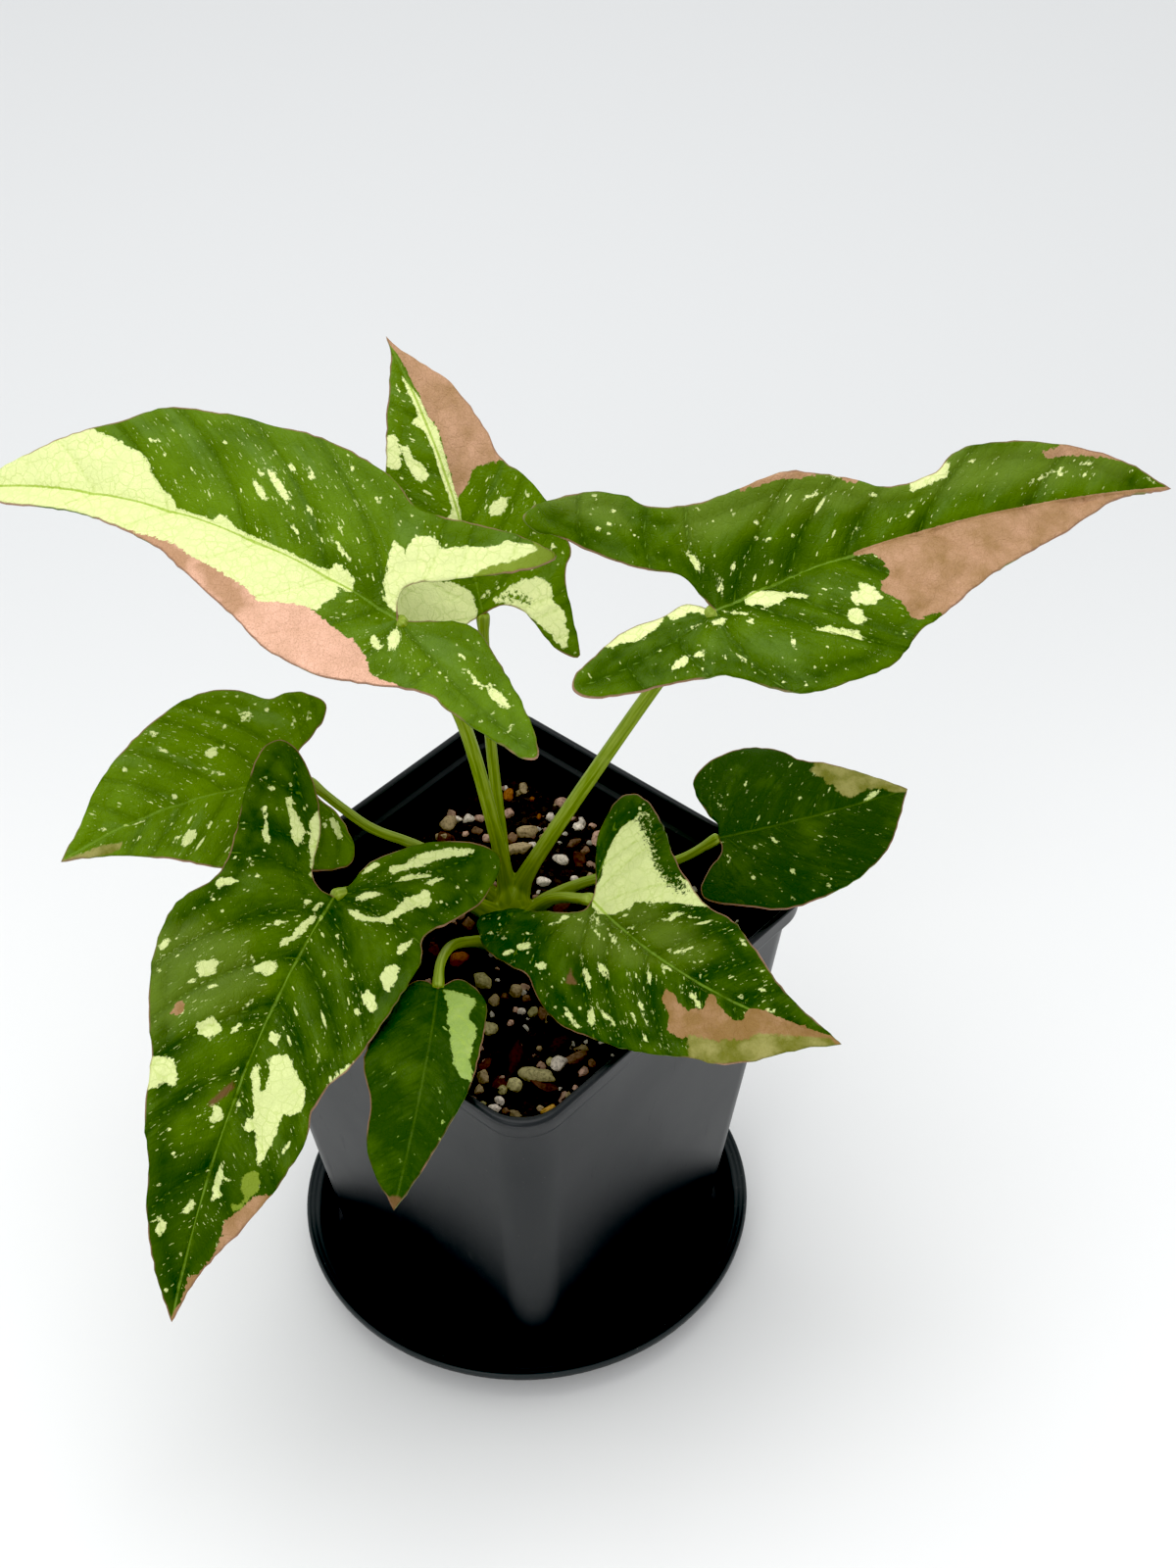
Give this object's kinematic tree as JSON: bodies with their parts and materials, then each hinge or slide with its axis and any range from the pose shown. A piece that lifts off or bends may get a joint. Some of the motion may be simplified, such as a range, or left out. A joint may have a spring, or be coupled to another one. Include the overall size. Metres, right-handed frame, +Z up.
{
  "type": "potted arrowhead plant",
  "caption": "Variegated arrowhead plant in a square black nursery pot on a round saucer; its arrow-shaped leaves are marked cream and pink.",
  "frame": {"origin": "centre of the saucer's underside, on the surface it stands on", "axes": "+Z up, -Y towards the front, where a corner of the pot points; +X to the right seen from the front"},
  "size_m": [0.2605, 0.1565, 0.2253],
  "materials": {
    "leaf": "satin, green with cream and pink patches",
    "stem": "satin pale green",
    "soil": "rough, damp peat with perlite, pumice and bark",
    "pot": "satin black",
    "saucer": "semi-gloss black"
  },
  "bodies": {
    "root": {"pot": "pot", "saucer": "saucer", "soil": "soil", "stem": "stem", "leaf_upper_left": "leaf", "leaf_back": "leaf", "leaf_right": "leaf", "leaf_small_right": "leaf", "leaf_centre": "leaf", "leaf_small_front": "leaf", "leaf_front_left": "leaf", "leaf_back_left": "leaf"}
  },
  "joints": []
}
